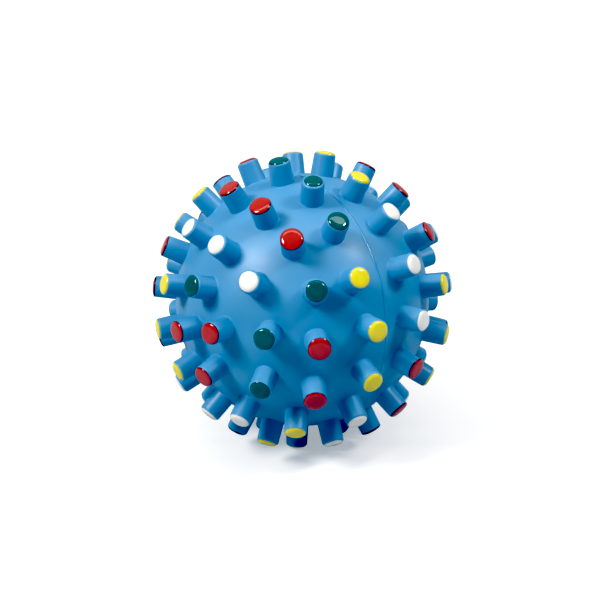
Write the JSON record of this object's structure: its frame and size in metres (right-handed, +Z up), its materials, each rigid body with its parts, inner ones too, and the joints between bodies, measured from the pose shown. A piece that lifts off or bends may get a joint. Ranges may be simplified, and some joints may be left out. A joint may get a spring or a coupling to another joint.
{
  "type": "spiky squeeze ball",
  "caption": "Hollow soft vinyl ball studded with blunt pegs whose ends carry drops of coloured paint, with a squeaker snapped into one pole.",
  "frame": {"origin": "the centre of the ball, which is also its centroid", "axes": "+Z is up with the ball standing on the four peg tips next to its seam; +X runs along the mould's axis, out through the squeaker; the mould's seam lies in the plane x = 0"},
  "size_m": [0.0978, 0.0982, 0.098],
  "materials": {
    "blue_vinyl": "satin moulded vinyl",
    "red_paint": "glossy vinyl paint",
    "yellow_paint": "glossy vinyl paint",
    "green_paint": "glossy vinyl paint",
    "white_paint": "glossy vinyl paint",
    "squeaker_plastic": "moulded polyethylene",
    "reed_brass": "rolled strip"
  },
  "bodies": {
    "ball": {"ball_shell": "blue_vinyl", "squeaker_body": "squeaker_plastic", "reed_block": "squeaker_plastic", "reed_clamp": "squeaker_plastic", "tip_pole": "red_paint", "tip_row1_1": "red_paint", "tip_row1_2": "red_paint", "tip_row1_3": "green_paint", "tip_row1_4": "yellow_paint", "tip_row1_5": "yellow_paint", "tip_row1_6": "yellow_paint", "tip_row2_1": "white_paint", "tip_row2_2": "white_paint", "tip_row2_3": "green_paint", "tip_row2_4": "green_paint", "tip_row2_5": "white_paint", "tip_row2_6": "white_paint", "tip_row2_7": "white_paint", "tip_row2_8": "red_paint", "tip_row2_9": "red_paint", "tip_row2_10": "red_paint", "tip_row2_11": "white_paint", "tip_row3_1": "green_paint", "tip_row3_2": "yellow_paint", "tip_row3_3": "yellow_paint", "tip_row3_4": "red_paint", "tip_row3_5": "red_paint", "tip_row3_6": "green_paint", "tip_row3_7": "red_paint", "tip_row3_8": "red_paint", "tip_row3_9": "red_paint", "tip_row3_10": "yellow_paint", "tip_row3_11": "yellow_paint", "tip_row3_12": "green_paint", "tip_row3_13": "green_paint", "tip_row3_14": "white_paint", "tip_row3_15": "white_paint", "tip_row4_1": "white_paint", "tip_row4_2": "white_paint", "tip_row4_3": "white_paint", "tip_row4_4": "yellow_paint", "tip_row4_5": "yellow_paint", "tip_row4_6": "yellow_paint", "tip_row4_7": "green_paint", "tip_row4_8": "green_paint", "tip_row4_9": "green_paint", "tip_row4_10": "red_paint", "tip_row4_11": "red_paint", "tip_row4_12": "red_paint", "tip_row4_13": "white_paint", "tip_row4_14": "white_paint", "tip_row4_15": "yellow_paint", "tip_row4_16": "yellow_paint", "tip_row4_17": "green_paint"},
    "reed": {"reed": "reed_brass"}
  },
  "joints": [
    {"name": "reed_flutter", "type": "hinge", "parent": "ball", "child": "reed", "pos_m": [0.03577, 0, 0], "axis": [0, 1, 0], "range_deg": [-1.5, 4], "stiffness_Nm_per_rad": 0.001}
  ]
}
